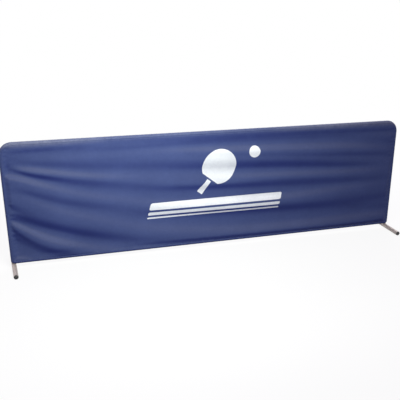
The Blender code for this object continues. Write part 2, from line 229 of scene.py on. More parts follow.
def sheet_out(x, z):
    """Distance of a sheet's outer face from the middle plane: over the tube it follows the tube's roundness,
    then come the raised seam, the puckers and the folds."""
    edge = inside(x, z)
    rise = lap_rise * (1 - ease((edge - lap_width) / lap_slope))
    over = np.sqrt(np.maximum((cover_radius + lap_rise) ** 2 - np.minimum(edge, 0) ** 2, 0))
    flat = cover_radius + rise + pucker(x, z) * ease(edge / pucker_start)
    return np.where(edge < 0, over, flat + fold_height(x + upright_x, z - rail_z))


middle_out = sheet_out(np.zeros(1), np.full(1, straight_z / 2))
print("the sheet's middle is", np.round(middle_out * 1000, 2), "mm from the barrier's middle plane")


# %% Make the two sheets
corner_steps = 24
corner_turn = np.sin(np.linspace(0, math.pi / 2, corner_steps + 1)[1:])
outer_bend = bend_radius + lap_over
even = np.linspace(-1, 1, 201)
bunching = 0.25
middle_x = ((1 + bunching) * even - bunching * even**3) * straight_x
sheet_x = np.concatenate([
    -straight_x - (outer_bend * corner_turn)[::-1],
    middle_x,
    straight_x + outer_bend * corner_turn,
])
seam_rows = np.array([0, 1.5, 3.5, 6, 8.5, 10.5, 12.5, 15]) / 1000
seam_zone, top_zone = 0.018, 0.060
sheet_rows = np.concatenate([
    seam_rows,
    np.linspace(seam_zone, sheet_height - top_zone, 110, endpoint=False),
    np.linspace(sheet_height - top_zone, sheet_height - seam_zone, 17),
    sheet_height - seam_rows[::-1],
]) / sheet_height


def cover_sheet(name, facing):
    """A grid from the rail up to the rounded outline; facing is -1 for the front and 1 for the rear. The rear
    sheet is the front one turned half round, so its folds also start on its own left."""
    past = np.maximum(np.abs(sheet_x) - straight_x, 0)
    top = straight_z + np.sqrt(np.maximum(outer_bend**2 - past**2, 0))
    low = rail_z - lap_over
    z = low + (top - low)[None, :] * sheet_rows[:, None]
    x = np.broadcast_to(sheet_x, z.shape)
    points = np.stack([-facing * x, facing * sheet_out(x, z), z], axis=-1)
    uv = np.stack([x, z], axis=-1)
    return add_wall(mesh_object(name, points, grid_faces(*z.shape), uv=uv))


front_sheet = cover_sheet("front_sheet", -1)
rear_sheet = cover_sheet("rear_sheet", 1)

# %% [markdown]
# ## Edge band
# One long strip is sewn between the sheets and wraps the outside of the tubes. It is a half ring carried along
# the outline of the panel. At a lower corner the half ring turns in place, which closes the corner as a
# quarter of a ball, and it stops at the round notch where the foot's pivot comes through. The strip and the
# hem flaps go on a little past the tubes' middle, under the edge of the sheets.


# %% Make the edge band
wrap_over = 0.09
band_reach = math.pi / 2 + wrap_over
corner_pitch = 0.0015
gather_height, gather_waves = 0.00035, 700
band_ripple = 0.00012


def outline(step=0.005):
    """Places along the tubes' centre line with the direction outwards: up the left side, over the top and
    down the right side."""
    rise = np.arange(rail_z, straight_z, step)
    turn = np.linspace(math.pi, math.pi / 2, 64)
    run = np.linspace(-straight_x, straight_x, 420)[1:-1]
    left = np.stack([np.full_like(rise, -upright_x), rise, np.full_like(rise, -1), np.zeros_like(rise)], axis=1)
    bend = np.stack([
        -straight_x + bend_radius * np.cos(turn),
        straight_z + bend_radius * np.sin(turn),
        np.cos(turn),
        np.sin(turn),
    ], axis=1)
    top = np.stack([run, np.full_like(run, top_z), np.zeros_like(run), np.ones_like(run)], axis=1)
    half = np.concatenate([left, bend])
    mirrored = half[::-1] * np.array([-1, 1, -1, 1])
    return np.concatenate([half, top, mirrored])


def corner_turns(turns, rows=14):
    """Angles of a lower corner's rows: from straight down, or from the rim of the pivot's notch, to the side."""
    rim = math.sqrt(1 - (notch_radius / cover_radius) ** 2)
    start = math.pi + np.arcsin(np.clip(rim / np.maximum(np.cos(turns), rim), -1, 1))
    share = np.linspace(0, 1, rows)[:-1, None]
    return start + (math.pi - start) * share


def edge_band():
    """The half ring at each place: centre + radius * (cos t * outwards + sin t * across), with small ripples
    where the strip is gathered round the top corners."""
    notch_turn = math.acos(math.sqrt(1 - (notch_radius / cover_radius) ** 2))
    turns = np.linspace(-band_reach, band_reach, 35)
    turns = np.unique(np.concatenate([turns, [-notch_turn, notch_turn]]))
    path = outline()
    ball = corner_turns(turns)
    count = len(turns)
    left = np.stack([np.cos(ball), np.sin(ball)], axis=-1)
    right = left[::-1] * np.array([-1, 1])
    way = np.concatenate([left, np.repeat(path[:, None, 2:], count, axis=1), right])
    places = np.concatenate([
        np.repeat(path[:1, :2], len(left), axis=0), path[:, :2], np.repeat(path[-1:, :2], len(right), axis=0)
    ])
    steps = np.hypot(*np.diff(path[:, :2] + path[:, 2:] * cover_radius, axis=0).T)
    along = np.concatenate([[0], np.cumsum(steps)])
    lead = np.arange(-len(left), 0) * corner_pitch
    along = np.concatenate([lead, along, along[-1] - lead[::-1]])
    bend = ease(np.minimum(np.abs(way[:, 0, 0]), np.abs(way[:, 0, 1])) * 4)
    gather = gather_height * bend[:, None] * np.sin(along * gather_waves)[:, None]
    gather = gather * np.cos(turns) ** 2 * np.abs(np.sin(turns)) * 2
    ripple = band_ripple * wander(along, 190, 2, 31)[:, None] * np.cos(turns) ** 2
    radius = cover_radius + gather + ripple
    ring = radius[..., None] * np.cos(turns)[:, None] * way
    y = radius * np.sin(turns)
    points = np.stack([places[:, None, 0] + ring[..., 0], y, places[:, None, 1] + ring[..., 1]], axis=-1)
    uv = np.stack(np.broadcast_arrays(along[:, None], turns * cover_radius), axis=-1)
    return add_wall(mesh_object("edge_band", points, grid_faces(len(way), count), uv=uv))


edge_band_piece = edge_band()

# %% [markdown]
# ## Hem flaps and their closing tapes
# Both sheets go on under the rail as flaps. The rear flap lies on the tube, the loop tape is sewn to it, and
# the hook tape is sewn inside the front flap, which is pulled over it and pressed on. All four are strips
# carried along X; an angle counts from the rear, down under the rail, to the front. The ends are cut out in a
# curve round each pivot.

# %% Make the flaps and tapes
tape_width = 0.020
tape_thickness = 0.0008
tape_end_margin = 0.030
tape_rows, flap_rows = 12, 30
flap_wave = 0.0004
fit_gap = 0.0003
loop_radius = cover_radius + fit_gap + tape_thickness
hook_radius = loop_radius + fit_gap + tape_thickness
flap_radius = hook_radius + fit_gap + cloth_thickness
tape_half_angle = tape_width / 2 / (hook_radius - tape_thickness)


def rail_strip(name, angles, radii, half_lengths, wave=0.0, columns=420):
    """A strip under the rail: (x, r cos a, rail height - r sin a), each row reaching its half length to either
    side. Where a wave is given, the rows stand off the tube by it, more and more towards the last one."""
    share = np.linspace(-1, 1, columns)
    x = half_lengths[:, None] * share
    loose = wave * wander(x, 71, 1.9, 11) * ease(np.linspace(0, 1, len(angles)))[:, None]
    radius = radii[:, None] + np.abs(loose)
    points = np.stack([x, radius * np.cos(angles)[:, None], rail_z - radius * np.sin(angles)[:, None]], axis=-1)
    uv = np.stack(np.broadcast_arrays(x, (angles * cover_radius)[:, None]), axis=-1)
    return mesh_object(name, points, grid_faces(*x.shape, flip=True), uv=uv)


def flap_half_lengths(angles):
    """Half the barrier, less the round notch of the pivot where the strip passes under it."""
    y = cover_radius * np.cos(angles)
    notch = np.sqrt(np.maximum(notch_radius**2 - y**2, 0)) * (np.sin(angles) > 0.5)
    return upright_x - fit_gap - notch


rear_angles = np.linspace(-wrap_over, math.pi / 2 + tape_half_angle, flap_rows)
front_angles = np.linspace(math.pi / 2 - tape_half_angle, math.pi + wrap_over, flap_rows)
from_front = (math.pi - front_angles) / (math.pi / 2 - tape_half_angle)
front_radii = cover_radius + (flap_radius - cover_radius) * ease(from_front)
rear_flap = add_wall(rail_strip(
    "rear_hem_flap", rear_angles, np.full(flap_rows, cover_radius), flap_half_lengths(rear_angles)
))
front_flap = add_wall(rail_strip(
    "front_hem_flap", front_angles[::-1], front_radii[::-1], flap_half_lengths(front_angles)[::-1], wave=flap_wave
))
front_flap.data.flip_normals()
tape_angles = np.linspace(math.pi / 2 - tape_half_angle, math.pi / 2 + tape_half_angle, tape_rows)
tape_lengths = np.full(tape_rows, upright_x - tape_end_margin)
loop_tape, hook_tape = [
    add_wall(rail_strip(name, tape_angles, np.full(tape_rows, radius), tape_lengths), tape_thickness)
    for name, radius in (("loop_tape", loop_radius), ("hook_tape", hook_radius))
]

# %% [markdown]
# ## Stitching
# Two rows of lockstitch hold every lapped seam. One stitch is a short bent piece of thread, a small tube of
# five rings; the whole row is that tube repeated with arrays, each copy turned to the direction of the seam.

# %% A row of stitches along a line of points
stitch_pitch = 0.0042
stitch_half_share = 0.40
thread_radius = 0.00026


def evenly(points, pitch):
    """Places at even distances along a line of points, with the direction of the line at each: the step from
    a quarter of the pitch behind to a quarter ahead, made one long."""
    length = np.concatenate([[0], np.cumsum(np.linalg.norm(np.diff(points, axis=0), axis=1))])
    count = int(length[-1] / pitch)
    at = (np.arange(count) + 0.5) * length[-1] / count
    place, ahead, behind = (
        np.stack([np.interp(at + shift, length, points[:, i]) for i in range(3)], axis=1)
        for shift in (0, pitch / 4, -pitch / 4)
    )
    way = ahead - behind
    return place, way / np.linalg.norm(way, axis=1)[:, None]


def stitches(name, lines):
    """Each stitch is (along * way, lift * out, side), a tube whose middle arches over the cloth and whose ends
    dip into it. lines holds pairs of (points, direction outwards)."""
    rings, sides = 5, 6
    share = np.linspace(-1, 1, rings)
    size = thread_radius * np.sqrt(np.clip(1.04 - share**4, 0, 1))
    lift = thread_radius * (0.55 - 1.5 * share**4)
    angle = np.linspace(0, 2 * math.pi, sides, endpoint=False)
    along = np.repeat(share[:, None], sides, axis=1) * stitch_pitch * stitch_half_share
    up = lift[:, None] + size[:, None] * np.cos(angle)
    side = size[:, None] * np.sin(angle)
    number = np.arange(rings * sides).reshape(rings, sides)
    quads = np.stack([number[:-1], np.roll(number, -1, 1)[:-1], np.roll(number, -1, 1)[1:], number[1:]], -1)
    quads = quads.reshape(-1, 4)
    first, last = number[0], number[-1]
    ends = np.array([first[[0, 1, 2, 3]], first[[0, 3, 4, 5]], last[[3, 2, 1, 0]], last[[5, 4, 3, 0]]])
    faces = np.concatenate([quads, ends])
    clouds = []
    for points, direction in lines:
        place, way = evenly(points, stitch_pitch)
        out = np.broadcast_to(direction, place.shape)
        across = np.cross(way, out)
        cloud = place[:, None, None] + along[..., None] * way[:, None, None]
        cloud = cloud + up[..., None] * out[:, None, None] + side[..., None] * across[:, None, None]
        clouds.append(cloud.reshape(-1, rings * sides, 3))
    cloud = np.concatenate(clouds)
    shift = np.arange(len(cloud))[:, None, None] * rings * sides
    return mesh_object(name, cloud, (faces[None] + shift).reshape(-1, 4))


# %% Stitch the sheets and the hem
seam_depths = (0.0015, 0.0060)
hem_row_share = 0.8
hem_thread_lift = 0.0002


def seam_line(depth, facing):
    """A closed line on a sheet at an even depth inside the tubes' centre line."""
    reach = bend_radius - depth
    turn = np.linspace(math.pi, math.pi / 2, 30)
    corner = np.stack([-straight_x + reach * np.cos(turn), straight_z + reach * np.sin(turn)], axis=1)
    side = np.linspace(rail_z + depth, straight_z, 120, endpoint=False)
    left = np.stack([np.full_like(side, -(upright_x - depth)), side], axis=1)
    run = np.linspace(-straight_x, 0, 240)[1:]
    half = np.concatenate([left, corner, np.stack([run, np.full_like(run, top_z - depth)], axis=1)])
    whole = np.concatenate([half, half[-2::-1] * np.array([-1, 1])])
    base = np.linspace(upright_x - depth, -(upright_x - depth), 480)[1:]
    whole = np.concatenate([whole, np.stack([base, np.full_like(base, rail_z + depth)], axis=1)])
    y = facing * sheet_out(whole[:, 0], whole[:, 1])
    return np.stack([-facing * whole[:, 0], y, whole[:, 1]], axis=1)


def hem_line(angle, radius, half_length):
    """A straight line under the rail at an angle, with room left at the pivots."""
    x = np.linspace(-half_length, half_length, 600)
    y, z = radius * math.cos(angle), rail_z - radius * math.sin(angle)
    return np.stack([x, np.full_like(x, y), np.full_like(x, z)], axis=1)


front_seam = stitches("front_seam_stitching", [(seam_line(d, -1), (0.0, -1.0, 0.0)) for d in seam_depths])
rear_seam = stitches("rear_seam_stitching", [(seam_line(d, 1), (0.0, 1.0, 0.0)) for d in seam_depths])
hem_angles = [math.pi / 2 + way * tape_half_angle * hem_row_share for way in (-1, 1)]
hem_stitching = stitches("hem_stitching", [
    (hem_line(a, flap_radius + hem_thread_lift, upright_x - tape_end_margin), (0.0, math.cos(a), -math.sin(a)))
    for a in hem_angles
])

# %% [markdown]
# ## Print
# Such barriers carry a white transfer print in the middle. This one is plain: a bat, a ball and three bars.
# Each shape is a flat grid laid out in x and z and then put on the sheet by its own height field, two tenths
# of a millimetre proud, so the print follows every fold and its edges stay sharp.

# %% The printed shapes
print_thickness = 0.0002


def on_sheet(name, x, z, *faces):
    """A flat shape given by arrays x and z becomes a thin layer on the front sheet."""
    points = np.stack([x, -(sheet_out(x, z) + print_thickness), z], axis=-1)
    return mesh_object(name, points, *faces, uv=np.stack([x, z], axis=-1))


def disc(name, centre, radii, tilt, rings=26, sides=144, cut_below=None):
    """A fan: one point in the middle, then rings that are the rim made smaller. The rim's distance from the
    middle is an oval's, 1 / hypot(cos a / width, sin a / height), and where a straight cut is given it is no
    more than cut / sin a."""
    share = np.linspace(0, 1, rings)[1:, None]
    angle = np.linspace(0, 2 * math.pi, sides, endpoint=False)
    if cut_below is not None:
        corner = math.atan2(cut_below, radii[0] * math.cos(math.asin(cut_below / radii[1])))
        corners = [corner % (2 * math.pi), (math.pi - corner) % (2 * math.pi)]
        angle = np.sort(np.concatenate([angle, corners]))
    rim = 1 / np.hypot(np.cos(angle) / radii[0], np.sin(angle) / radii[1])
    if cut_below is not None:
        rim = np.minimum(rim, np.where(np.sin(angle) < 0, cut_below / np.minimum(np.sin(angle), -1e-6), 1))
    a = np.concatenate([[0], (share * rim * np.cos(angle)).ravel()])
    b = np.concatenate([[0], (share * rim * np.sin(angle)).ravel()])
    ring = 1 + np.arange((rings - 1) * len(angle)).reshape(rings - 1, -1)
    after = np.roll(ring, -1, axis=1)
    core = np.stack([np.zeros_like(ring[0]), ring[0], after[0]], axis=-1)
    around = np.stack([ring[:-1], ring[1:], after[1:], after[:-1]], axis=-1).reshape(-1, 4)
    x = centre[0] + a * math.cos(tilt) - b * math.sin(tilt)
    z = centre[1] + a * math.sin(tilt) + b * math.cos(tilt)
    return on_sheet(name, x, z, core, around)


def bar(name, low, high, rounding):
    """A bar with rounded ends, given by its lower left and upper right corners in x and z, and then slanted to
    the right: each row is shortened at both ends near the two long edges by a circle's rule."""
    height = high[1] - low[1]
    rows = 1 + max(4, int(height / bar_row_height))
    up = np.linspace(0, 1, rows)[:, None]
    off = np.abs(up * 2 - 1) * height / 2
    past = np.maximum(off - height / 2 + rounding, 0)
    room = rounding - np.sqrt(np.maximum(rounding**2 - past**2, 0))
    across = np.linspace(0, 1, bar_columns)[None, :]
    x = low[0] + room + (high[0] - low[0] - 2 * room) * across + bar_slant * up * height
    z = low[1] + height * up + 0 * across
    return on_sheet(name, x, z, grid_faces(*x.shape))


bar_row_height, bar_columns, bar_slant = 0.003, 260, 0.30
bat_tilt = math.radians(-38)
bat_centre = np.array([0.020, 0.492])
handle_way = np.array([math.sin(bat_tilt), -math.cos(bat_tilt)])
print_pieces = [
    disc("print_bat_blade", bat_centre, (0.098, 0.106), bat_tilt, cut_below=-0.088),
    disc("print_ball", (0.232, 0.567), (0.034, 0.034), 0.0),
    bar("print_bar_wide", (-0.395, 0.264), (0.405, 0.305), 0.010),
    bar("print_bar_middle", (-0.403, 0.233), (0.397, 0.251), 0.006),
    bar("print_bar_narrow", (-0.408, 0.212), (0.392, 0.221), 0.004),
]
handle_top, handle_end = 0.098, 0.190
handle_half_width, handle_flare = 0.0135, 0.0045
flare_start, flare_length = 0.12, 0.07


def handle(name):
    """The bat's handle: a strip down from below the blade's straight edge to a slightly wider end, in distances
    from the blade's middle."""
    down = np.linspace(handle_top, handle_end, 32)[:, None]
    half = handle_half_width + handle_flare * ease((down - flare_start) / flare_length)
    side = np.linspace(-1, 1, 12)[None, :] * half
    x = bat_centre[0] + handle_way[0] * down + side * math.cos(bat_tilt)
    z = bat_centre[1] + handle_way[1] * down + side * math.sin(bat_tilt)
    return on_sheet(name, x[::-1], z[::-1], grid_faces(*x.shape))


print_pieces.append(handle("print_bat_handle"))

# %% [markdown]
# ## Node groups
# Effects that more than one finish needs are built once as shader node groups with named sockets: the weave of
# the cloth, cloudy variation, dust that settles low down, and fine scratches. Short functions stand for the
# nodes that are used again and again.


# %% Helpers for node trees
def new_group(name, inputs, outputs):
    """An empty shader node group with its sockets. Each input's label has its value: a number, or else a
    vector, None where it is always linked. Outputs are labels of numbers."""
    tree = bpy.data.node_groups.new(name, "ShaderNodeTree")
    for label, value in inputs.items():
        kind = "NodeSocketFloat" if isinstance(value, float) else "NodeSocketVector"
        socket = tree.interface.new_socket(label, in_out="INPUT", socket_type=kind)
        if value is not None:
            socket.default_value = value
    for label in outputs:
        tree.interface.new_socket(label, in_out="OUTPUT", socket_type="NodeSocketFloat")
    return tree, tree.nodes.new("NodeGroupInput").outputs, tree.nodes.new("NodeGroupOutput").inputs


def plug(tree, value, socket):
    """A socket's value: a link where value is another socket, and a plain number or colour otherwise."""
    if isinstance(value, bpy.types.NodeSocket):
        tree.links.new(value, socket)
    else:
        socket.default_value = value


def plug_all(tree, item, values):
    """Several inputs of a node at once, by their labels."""
    for label, value in values.items():
        plug(tree, value, item.inputs[label])


def math_node(tree, operation, *values):
    """The result of one arithmetic step."""
    item = tree.nodes.new("ShaderNodeMath")
    item.operation = operation
    for value, socket in zip(values, item.inputs):
        plug(tree, value, socket)
    return item.outputs[0]


def product(tree, result, *factors):
    """Values multiplied with each other."""
    for factor in factors:
        result = math_node(tree, "MULTIPLY", result, factor)
    return result


def split(tree, vector):
    """The X, Y and Z parts of a vector."""
    item = tree.nodes.new("ShaderNodeSeparateXYZ")
    tree.links.new(vector, item.inputs[0])
    return item.outputs


def noise(tree, vector, scale, detail=2.0, roughness=0.5):
    """Noise from 0 to 1 with about scale lumps to the metre."""
    item = tree.nodes.new("ShaderNodeTexNoise")
    plug_all(tree, item, {"Vector": vector, "Scale": scale, "Detail": detail, "Roughness": roughness})
    return item.outputs["Fac"]


def remap(tree, value, low, high, to_low=0.0, to_high=1.0):
    """A smooth step from to_low to to_high while the value goes from low to high."""
    item = tree.nodes.new("ShaderNodeMapRange")
    item.interpolation_type = "SMOOTHSTEP"
    for socket, number in zip(item.inputs, (value, low, high, to_low, to_high)):
        plug(tree, number, socket)
    return item.outputs[0]


def mix_colour(tree, factor, first, second, blend="MIX"):
    """The first colour at factor 0 and the blend of both at 1."""
    item = tree.nodes.new("ShaderNodeMix")
    item.data_type = "RGBA"
    item.blend_type = blend
    plug(tree, factor, item.inputs[0])
    plug(tree, first, item.inputs[6])
    plug(tree, second, item.inputs[7])
    return item.outputs[2]


def use_group(tree, group, **values):
    """A group placed in a tree; its inputs are set by name, with underscores for spaces."""
    item = tree.nodes.new("ShaderNodeGroup")
    item.node_tree = group
    for name, value in values.items():
        plug(tree, value, item.inputs[name.replace("_", " ").capitalize()])
    return item.outputs


# %% The weave, the clouds, the dust and the scratches
def build_weave():
    """Plain weave in u and v, which count threads. The threads of each direction are round, |sin(pi across)|,
    and lie on top where cos(pi (along + whole part of across)) is high, which flips from one thread to the
    next. The higher of the two threads shows. Shade is painted shade: the colour is darker where the
    threads dip."""
    tree, given, result = new_group("thread weave", {"Vector": None, "Threads per metre": 1800.0}, ["Height", "Shade"])
    parts = split(tree, given["Vector"])
    u, v = (product(tree, parts[axis], given["Threads per metre"]) for axis in "XY")
    threads = []
    for across, along in ((v, u), (u, v)):
        crossing = math_node(tree, "ADD", along, math_node(tree, "FLOOR", across))
        on_top = math_node(tree, "COSINE", product(tree, crossing, math.pi))
        roundness = math_node(tree, "ABSOLUTE", math_node(tree, "SINE", product(tree, across, math.pi)))
        threads.append(product(tree, roundness, remap(tree, on_top, -1.0, 1.0)))
    height = math_node(tree, "MAXIMUM", *threads)
    tree.links.new(height, result["Height"])
    tree.links.new(remap(tree, height, 0.1, 0.8, 0.86, 1.0), result["Shade"])
    return tree


def build_clouds():
    """Soft cloudy variation in two sizes, around one half."""
    tree, given, result = new_group("soft clouds", {"Vector": None, "Size": 0.1}, ["Value"])
    scale = math_node(tree, "DIVIDE", 1.0, given["Size"])
    large = noise(tree, given["Vector"], scale, 3.0)
    small = noise(tree, given["Vector"], product(tree, scale, 9.0), 3.0, 0.6)
    tree.links.new(math_node(tree, "ADD", product(tree, large, 0.6), product(tree, small, 0.4)), result["Value"])
    return tree


def build_dust():
    """Dust near the floor: full below Low, gone above High, broken up by noise."""
    tree, given, result = new_group("floor dust", {"Vector": None, "Low": 0.02, "High": 0.12, "Amount": 0.3}, ["Mask"])
    height = remap(tree, split(tree, given["Vector"])["Z"], given["Low"], given["High"], 1.0, 0.0)
    specks = remap(tree, noise(tree, given["Vector"], 38.0, 6.0, 0.7), 0.35, 0.75)
    tree.links.new(product(tree, height, specks, given["Amount"]), result["Mask"])
    return tree


def build_scratches():
    """Fine lines along one axis: noise on a vector stretched along that axis, kept where it is high."""
    tree, given, result = new_group(
        "fine scratches", {"Vector": None, "Stretch": (900.0, 12.0, 900.0)}, ["Grain", "Mask"]
    )
    stretched = tree.nodes.new("ShaderNodeVectorMath")
    stretched.operation = "MULTIPLY"
    tree.links.new(given["Vector"], stretched.inputs[0])
    tree.links.new(given["Stretch"], stretched.inputs[1])
    grain = noise(tree, stretched.outputs[0], 1.0, 3.0, 0.6)
    tree.links.new(grain, result["Grain"])
    tree.links.new(remap(tree, grain, 0.62, 0.74), result["Mask"])
    return tree


groups = weave_group, clouds_group, dust_group, scratch_group = (
    build_weave(), build_clouds(), build_dust(), build_scratches()
)
print("groups", [group.name for group in groups])

# %% [markdown]
# ## Cloth finishes
# The cover is dyed polyester with a thin coating: dark blue, with the weave just visible close up. Each finish
# mixes three colours by the Z part of the surface's own normal: darker where the cloth faces down and paler where
# it faces up. That is painted shade and painted highlight, a stand-in for the light of a room. The weave also
# darkens the colour between its threads as painted shade. Along the top runs a painted highlight, weaker near
# the middle. The top is rubbed pale, least near the middle, which is a guess: hands take the barrier nearer its
# ends. A little dust lies low down. The weave follows the UV map, and clouds and dust follow Object coordinates.


# %% Cloth materials
def new_material(name):
    """A material with its node tree and its Principled shader."""
    material = bpy.data.materials.new(name)
    material.use_nodes = True
    tree = material.node_tree
    return material, tree, tree.nodes["Principled BSDF"]


def coordinates(tree):
    """Outputs Object, in metres from the origin, UV, the piece's own map, and Normal."""
    return tree.nodes.new("ShaderNodeTexCoord").outputs


def bump(tree, shader, height, distance, rounding=None):
    """Fine relief from a height; where a rounding is given, edges up to that radius are shaded round as well."""
    item = tree.nodes.new("ShaderNodeBump")
    item.inputs["Distance"].default_value = distance
    tree.links.new(height, item.inputs["Height"])
    tree.links.new(item.outputs["Normal"], shader.inputs["Normal"])
    if rounding is not None:
        edge = tree.nodes.new("ShaderNodeBevel")
        edge.samples = 8
        edge.inputs["Radius"].default_value = rounding
        tree.links.new(edge.outputs["Normal"], item.inputs["Normal"])


# Painted highlight along the top of the cover, weaker near its middle: its colour, heights and spread follow.
top_highlight_colour = (0.72, 0.73, 0.75, 1)
dust_grey = (0.30, 0.29, 0.28, 1)
highlight_low, highlight_high = top_z - 0.024, top_z + 0.004
weakest_highlight_x, highlight_near, highlight_far = -0.15, 0.40, 0.80
# Ranges of the normal's Z over which the painted shade and the painted highlight come in.
facing_down, facing_up = (-0.36, 0.04), (-0.04, 0.36)


def cloth_material(
    name, painted_shade_colour, plain, painted_highlight_colour, threads=1800.0, weave_depth=0.00012, roughness=0.46, sheen=0.08, dust=0.35, top_highlight=0.0
):
    """Woven cloth: painted shade where it faces down, plain where it is upright and painted highlight where it
    faces up, a little paler in clouds and with a painted highlight along the top; weave and crumple give the
    bump."""
    material, tree, shader = new_material(name)
    given = coordinates(tree)
    place = given["Object"]
    weave = use_group(tree, weave_group, vector=given["UV"], threads_per_metre=threads)
    clouds = use_group(tree, clouds_group, vector=place, size=0.16)["Value"]
    # Painted shade where the surface faces down and painted highlight where it faces up, mixed by the normal's Z.
    facing = split(tree, given["Normal"])["Z"]
    lower = mix_colour(tree, remap(tree, facing, *facing_down), painted_shade_colour, plain)
    tint = mix_colour(tree, remap(tree, facing, *facing_up), lower, painted_highlight_colour)
    drift = mix_colour(tree, remap(tree, clouds, 0.30, 0.72), (0.94, 0.94, 0.95, 1), (1.07, 1.07, 1.06, 1))
    tint = mix_colour(tree, 1.0, tint, drift, "MULTIPLY")
    # The weave's Shade darkens the colour between the threads: painted shade.
    shaded = mix_colour(tree, 1.0, tint, weave["Shade"], "MULTIPLY")
    parts = split(tree, place)
    # Painted highlight along the top, weaker near the middle.
    near_top = remap(tree, parts["Z"], highlight_low, highlight_high)
    off_middle = math_node(tree, "ABSOLUTE", math_node(tree, "SUBTRACT", parts["X"], weakest_highlight_x))
    highlight_spread = remap(tree, off_middle, highlight_near, highlight_far, 0.25, 1.4)
    painted_top_highlight = product(tree, near_top, remap(tree, clouds, 0.25, 0.75, 0.6 * top_highlight, 1.4 * top_highlight), highlight_spread)
    shaded = mix_colour(tree, painted_top_highlight, shaded, top_highlight_colour)
    specks = use_group(tree, dust_group, vector=place, amount=dust)["Mask"]
    crumple = product(tree, noise(tree, place, 26.0, 4.0, 0.62), 6.0)
    bump(tree, shader, math_node(tree, "ADD", weave["Height"], crumple), weave_depth)
    plug_all(tree, shader, {
        "Base Color": mix_colour(tree, specks, shaded, dust_grey),
        "Roughness": remap(tree, clouds, 0.25, 0.75, roughness - 0.07, roughness + 0.09),
        "Sheen Weight": sheen,
        "Sheen Roughness": 0.45,
        "Sheen Tint": (0.60, 0.68, 1.0, 1),
        "Specular IOR Level": 0.06,
    })
    return material


# Each trio of colours, here and below: painted shade, the plain colour and painted highlight.
cover_colours = (0.025, 0.038, 0.178, 1), (0.055, 0.078, 0.211, 1), (0.068, 0.087, 0.196, 1)
sheet_cloth = cloth_material("coated_cover_cloth", *cover_colours, dust=0.03, top_highlight=0.09)
band_cloth = cloth_material("edge_band_cloth", *cover_colours, dust=0.06, top_highlight=0.09)
hem_cloth = cloth_material("hem_cloth", *cover_colours, dust=0.03)
loop_cloth = cloth_material(
    "loop_pile", (0.018, 0.020, 0.036, 1), (0.022, 0.024, 0.042, 1), (0.030, 0.033, 0.055, 1),
    threads=900.0, weave_depth=0.0005, roughness=0.9, sheen=0.6, dust=0.5,
)
hook_cloth = cloth_material(
    "hook_pile", (0.014, 0.015, 0.028, 1), (0.018, 0.019, 0.034, 1), (0.024, 0.026, 0.042, 1),
    threads=620.0, weave_depth=0.0006, roughness=0.6, sheen=0.1, dust=0.5,
)
thread = cloth_material(
    "sewing_thread", (0.060, 0.078, 0.215, 1), (0.070, 0.098, 0.230, 1), (0.085, 0.115, 0.250, 1),
    threads=2600.0, weave_depth=0.00006, roughness=0.45,
)
ink = cloth_material(
    "white_transfer_ink", (0.70, 0.73, 0.83, 1), (0.75, 0.78, 0.85, 1), (0.78, 0.80, 0.86, 1),
    weave_depth=0.00008, roughness=0.48, sheen=0.0, dust=0.1,
)
print("cloth finishes", [m.name for m in (sheet_cloth, band_cloth, hem_cloth, loop_cloth, hook_cloth, thread, ink)])

# %% [markdown]
# ## Metal and plastic finishes
# The feet are drawn tube in a thin satin lacquer of warm grey, so their grain runs along each tube. Bolts and
# washers are zinc plated and the inserts are brass. Caps and plugs are moulded in black plastic and saddles in
# grey, with a fine matt skin and scuffs. A Bevel node shades their edges slightly round, as moulds and files
# leave them. Hoop and rail are powder coated, which has its own slight orange peel.


# %% Metal and plastic materials
def metal_material(name, colour, worn, roughness, stretch, depth=0.00003, turn=0.0, metallic=1.0):
    """Plated or lacquered metal: long fine grain in the roughness and the bump, with small duller patches. The
    coordinates are turned about Z by an angle, which brings a foot that rests askew back in line with Y, so
    that the grain follows it."""
    material, tree, shader = new_material(name)
    place = coordinates(tree)["Object"]
    mapping = tree.nodes.new("ShaderNodeMapping")
    mapping.inputs["Rotation"].default_value = (0, 0, turn)
    tree.links.new(place, mapping.inputs["Vector"])
    lines = use_group(tree, scratch_group, vector=mapping.outputs[0], stretch=stretch)
    clouds = use_group(tree, clouds_group, vector=place, size=0.03)["Value"]
    grain = remap(tree, lines["Grain"], 0.3, 0.7, -0.06, 0.08)
    rough = remap(tree, clouds, 0.3, 0.7, roughness - 0.05, roughness + 0.1)
    bump(tree, shader, lines["Grain"], depth, rounding=0.0016)
    plug_all(tree, shader, {
        "Base Color": mix_colour(tree, remap(tree, clouds, 0.50, 0.66), colour, worn),
        "Roughness": math_node(tree, "ADD", grain, rough),
        "Metallic": metallic,
    })
    return material


def plastic_material(name, colour, scuffed, roughness):
    """Moulded plastic: a fine grained skin, and scuffs as pale scratches."""
    material, tree, shader = new_material(name)
    place = coordinates(tree)["Object"]
    skin = noise(tree, place, 2600.0, 2.0)
    lines = use_group(tree, scratch_group, vector=place, stretch=(500.0, 60.0, 300.0))
    clouds = use_group(tree, clouds_group, vector=place, size=0.02)["Value"]
    scuffs = product(tree, lines["Mask"], remap(tree, clouds, 0.45, 0.62))
    bump(tree, shader, skin, 0.00006, rounding=0.0012)
    plug_all(tree, shader, {
        "Base Color": mix_colour(tree, scuffs, colour, scuffed),
        "Roughness": remap(tree, clouds, 0.3, 0.7, roughness - 0.06, roughness + 0.1),
    })
    return material


def coated_material(name, colour, chipped, roughness):
    """Powder coat over steel: slight orange peel, with small chips that show the metal's grey."""
    material, tree, shader = new_material(name)
    place = coordinates(tree)["Object"]
    peel = noise(tree, place, 420.0, 2.0)
    clouds = use_group(tree, clouds_group, vector=place, size=0.05)["Value"]
    chips = remap(tree, noise(tree, place, 160.0, 5.0, 0.7), 0.70, 0.72)
    bump(tree, shader, peel, 0.00005)
    plug_all(tree, shader, {
        "Base Color": mix_colour(tree, chips, colour, chipped),
        "Roughness": remap(tree, clouds, 0.3, 0.7, roughness - 0.06, roughness + 0.08),
    })
    return material


